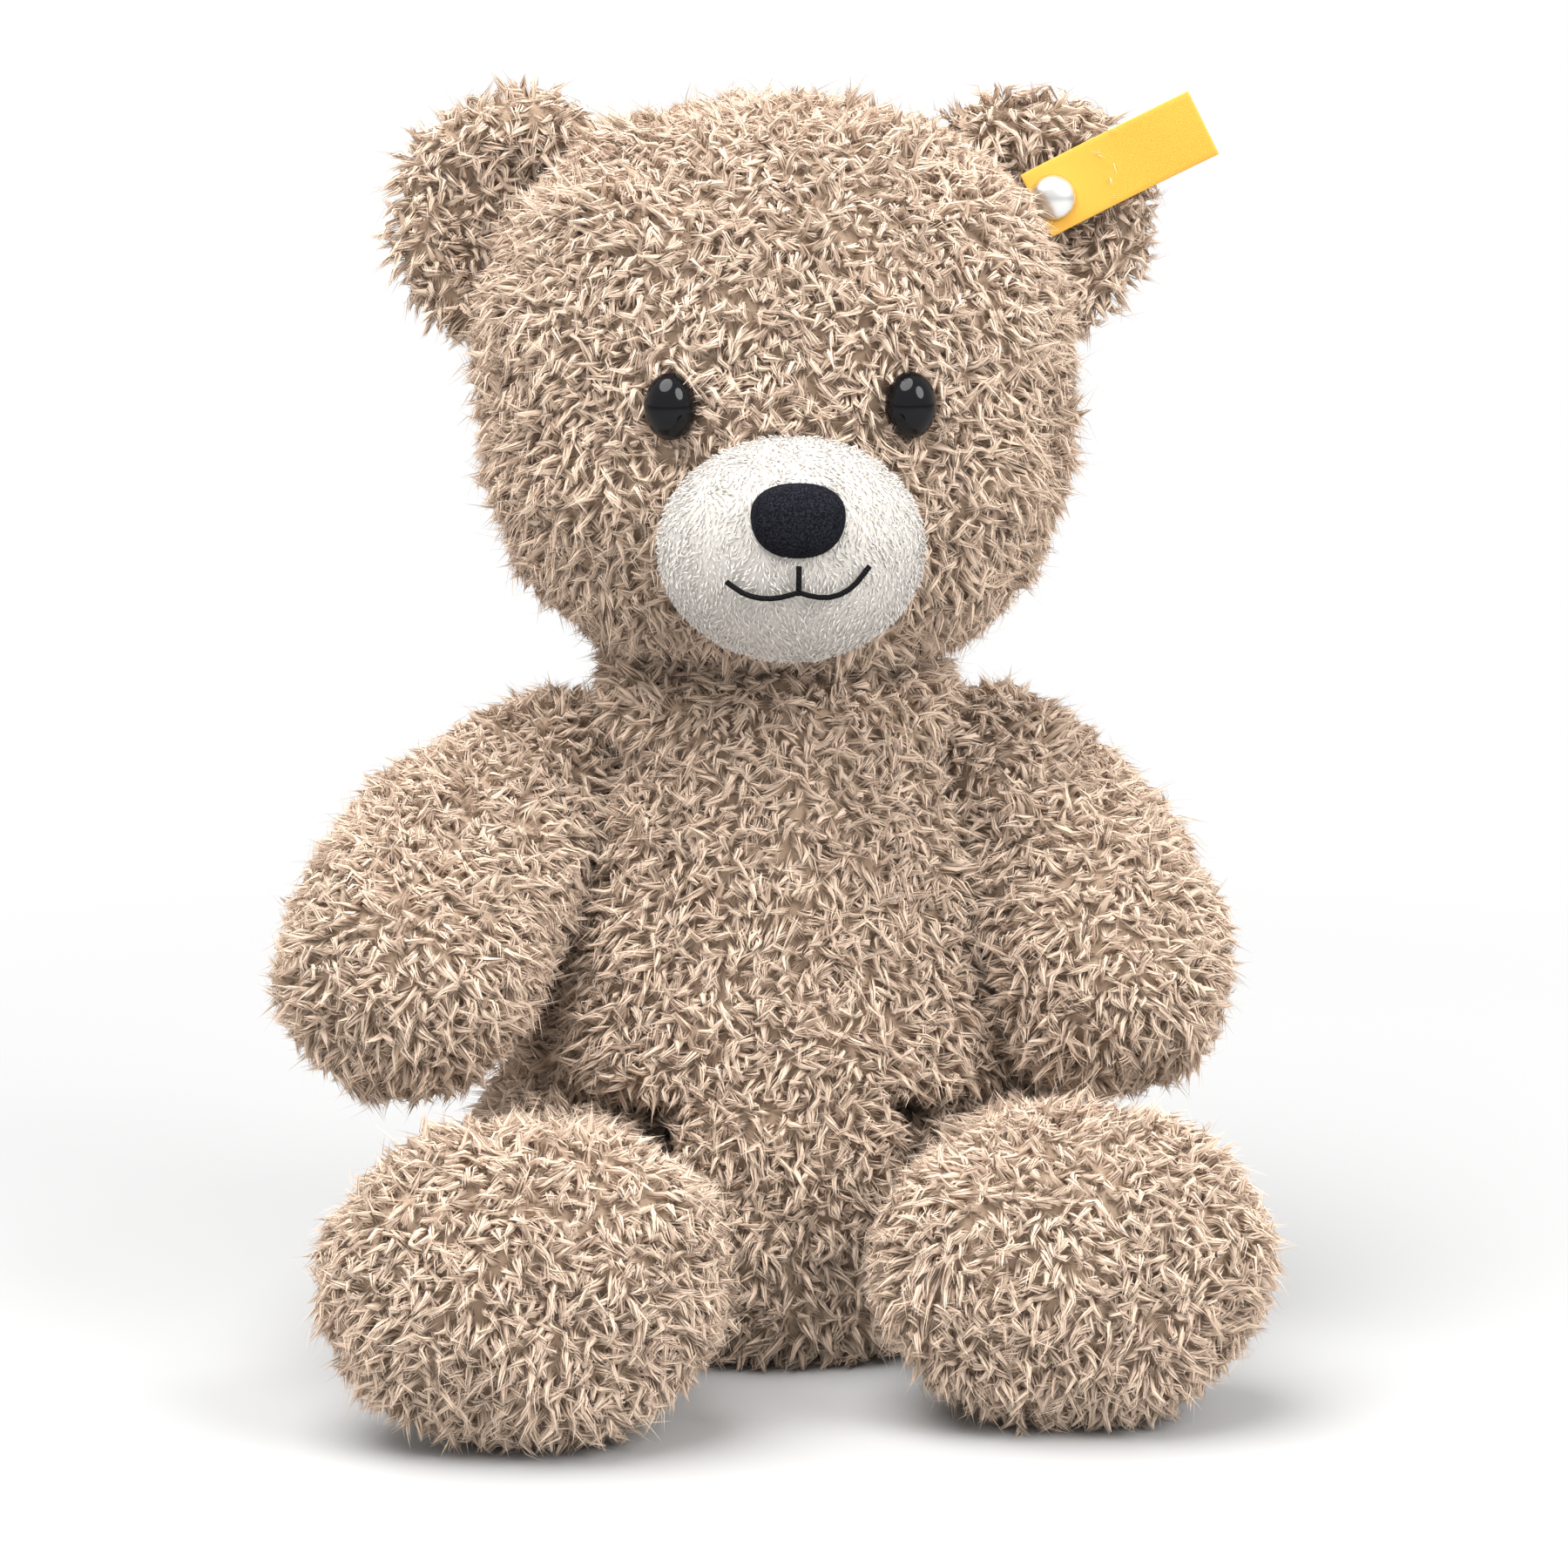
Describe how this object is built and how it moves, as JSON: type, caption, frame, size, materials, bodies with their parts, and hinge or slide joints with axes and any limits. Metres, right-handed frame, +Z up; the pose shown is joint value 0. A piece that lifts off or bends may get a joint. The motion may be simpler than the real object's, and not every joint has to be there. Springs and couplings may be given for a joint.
{
  "type": "plush night light",
  "caption": "Sitting teddy bear night light of curly beige plush, with a battery light unit in its belly behind a back flap.",
  "frame": {"origin": "on the floor, under the middle of the torso's flat seat", "axes": "+Z up, -Y the way the bear looks, +X the bear's own left side"},
  "size_m": [0.1924, 0.162, 0.2517],
  "materials": {
    "curly_pile": "long curly polyester pile, matte",
    "short_pile": "short cream pile, matte",
    "stuffing": "white polyester fibre",
    "nose_velvet": "short black velvet",
    "black_thread": "black embroidery thread",
    "eye_plastic": "polished black",
    "woven_tag": "plain woven tape",
    "rivet_metal": "satin silver",
    "hook_and_loop": "beige hook and loop tape",
    "pouch_cloth": "thin plain cotton",
    "case_plastic": "white moulded plastic",
    "diffuser": "frosted, translucent",
    "seal_rubber": "soft dark grey",
    "steel": "plated",
    "board_laminate": "green solder resist",
    "switch_plastic": "black moulded plastic",
    "lamp_resin": "warm clear resin",
    "cell_wrap": "plain dark blue sleeve"
  },
  "bodies": {
    "torso": {"torso_cover": "curly_pile", "torso_filling": "stuffing", "flap_loop_tape": "hook_and_loop", "light_pouch": "pouch_cloth", "front_case": "case_plastic", "case_seal": "seal_rubber", "rear_case": "case_plastic", "battery_door": "case_plastic", "door_screw": "steel", "case_screw_1": "steel", "case_screw_2": "steel", "case_screw_3": "steel", "case_screw_4": "steel", "circuit_board": "board_laminate", "switch_body": "switch_plastic", "led_1": "lamp_resin", "led_2": "lamp_resin", "led_3": "lamp_resin", "battery_1": "cell_wrap", "battery_2": "cell_wrap", "battery_3": "cell_wrap", "contact_spring_1": "steel", "contact_spring_2": "steel", "contact_spring_3": "steel", "contact_plate_1": "steel", "contact_plate_2": "steel", "contact_plate_3": "steel"},
    "head": {"head_cover": "curly_pile", "head_filling": "stuffing", "muzzle": "short_pile", "nose": "nose_velvet", "mouth_stitching": "black_thread", "ear_tag": "woven_tag", "tag_rivet": "rivet_metal", "tag_rivet_washer": "steel", "left_ear": "curly_pile", "right_ear": "curly_pile", "left_eye": "eye_plastic", "right_eye": "eye_plastic", "left_eye_washer": "case_plastic", "right_eye_washer": "case_plastic"},
    "left_arm": {"left_arm_cover": "curly_pile", "left_arm_filling": "stuffing"},
    "right_arm": {"right_arm_cover": "curly_pile", "right_arm_filling": "stuffing"},
    "left_leg": {"left_leg_cover": "curly_pile", "left_foot_cover": "curly_pile", "left_leg_filling": "stuffing"},
    "right_leg": {"right_leg_cover": "curly_pile", "right_foot_cover": "curly_pile", "right_leg_filling": "stuffing"},
    "back_flap": {"flap_panel": "curly_pile", "flap_pad": "stuffing", "flap_hook_tape": "hook_and_loop"},
    "button": {"push_button": "diffuser", "switch_plunger": "switch_plastic"}
  },
  "joints": [
    {"name": "neck_turn", "type": "hinge", "parent": "torso", "child": "head", "pos_m": [0, -0.004, 0.138], "axis": [0, 0, 1], "range_deg": [-25, 25], "stiffness_Nm_per_rad": 0.3},
    {"name": "left_arm_lift", "type": "hinge", "parent": "torso", "child": "left_arm", "pos_m": [0.0315, 0, 0.114], "axis": [-0.9636, 0, -0.2672], "range_deg": [0, 50], "stiffness_Nm_per_rad": 0.08},
    {"name": "right_arm_lift", "type": "hinge", "parent": "torso", "child": "right_arm", "pos_m": [-0.0315, 0, 0.114], "axis": [-0.9636, 0, 0.2672], "range_deg": [0, 50], "stiffness_Nm_per_rad": 0.08},
    {"name": "left_leg_swing", "type": "hinge", "parent": "torso", "child": "left_leg", "pos_m": [0.016, 0, 0.031], "axis": [0.9932, 0.1167, 0], "range_deg": [0, 60], "stiffness_Nm_per_rad": 0.08},
    {"name": "right_leg_swing", "type": "hinge", "parent": "torso", "child": "right_leg", "pos_m": [-0.016, 0, 0.031], "axis": [0.9932, -0.1167, 0], "range_deg": [0, 60], "stiffness_Nm_per_rad": 0.08},
    {"name": "back_flap_open", "type": "hinge", "parent": "torso", "child": "back_flap", "pos_m": [0, 0.03912, 0.122], "axis": [1, 0, 0], "range_deg": [0, 95]},
    {"name": "button_press", "type": "slide", "parent": "torso", "child": "button", "axis": [0, 1, 0], "range_m": [0, 0.0015], "stiffness_N_per_m": 600}
  ]
}
